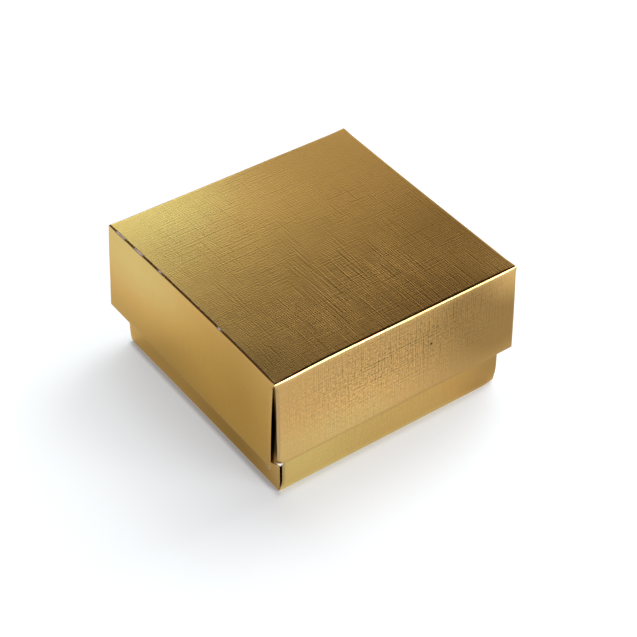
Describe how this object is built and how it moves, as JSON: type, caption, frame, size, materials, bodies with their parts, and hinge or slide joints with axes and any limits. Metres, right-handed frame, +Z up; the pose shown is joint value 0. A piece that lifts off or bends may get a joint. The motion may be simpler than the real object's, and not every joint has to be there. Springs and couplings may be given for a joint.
{
  "type": "favor box",
  "caption": "Square two-piece favor box folded from embossed gold foil card, with a deep slip-over lid above a visible band of the base.",
  "frame": {"origin": "middle of the underside of the base, on the surface the box stands on", "axes": "+Z up through the lid, +X to the right along the front wall, front wall facing -Y"},
  "size_m": [0.0655, 0.0648, 0.0343],
  "materials": {
    "lid_foil": "gold metallic foil laminated on card, with a fine linen emboss",
    "base_foil": "gold metallic foil laminated on card, with a fine linen emboss",
    "liner_foil": "gold metallic foil laminated on card, folded in as a liner",
    "web_foil": "gold metallic foil laminated on card, folded double in the corners"
  },
  "bodies": {
    "base": {"base_bottom": "base_foil", "base_front_wall": "base_foil", "base_right_wall": "base_foil", "base_back_wall": "base_foil", "base_left_wall": "base_foil", "base_front_liner": "liner_foil", "base_right_liner": "liner_foil", "base_back_liner": "liner_foil", "base_left_liner": "liner_foil", "base_left_front_web": "web_foil", "base_right_front_web": "web_foil", "base_left_back_web": "web_foil", "base_right_back_web": "web_foil"},
    "lid": {"lid_top": "lid_foil", "lid_front_wall": "lid_foil", "lid_right_wall": "lid_foil", "lid_back_wall": "lid_foil", "lid_left_wall": "lid_foil", "lid_front_liner": "liner_foil", "lid_right_liner": "liner_foil", "lid_back_liner": "liner_foil", "lid_left_liner": "liner_foil", "lid_left_front_web": "web_foil", "lid_right_front_web": "web_foil", "lid_left_back_web": "web_foil", "lid_right_back_web": "web_foil"}
  },
  "joints": [
    {"name": "lid_lift", "type": "slide", "parent": "base", "child": "lid", "axis": [0, 0, 1], "range_m": [0, 0.045]}
  ]
}
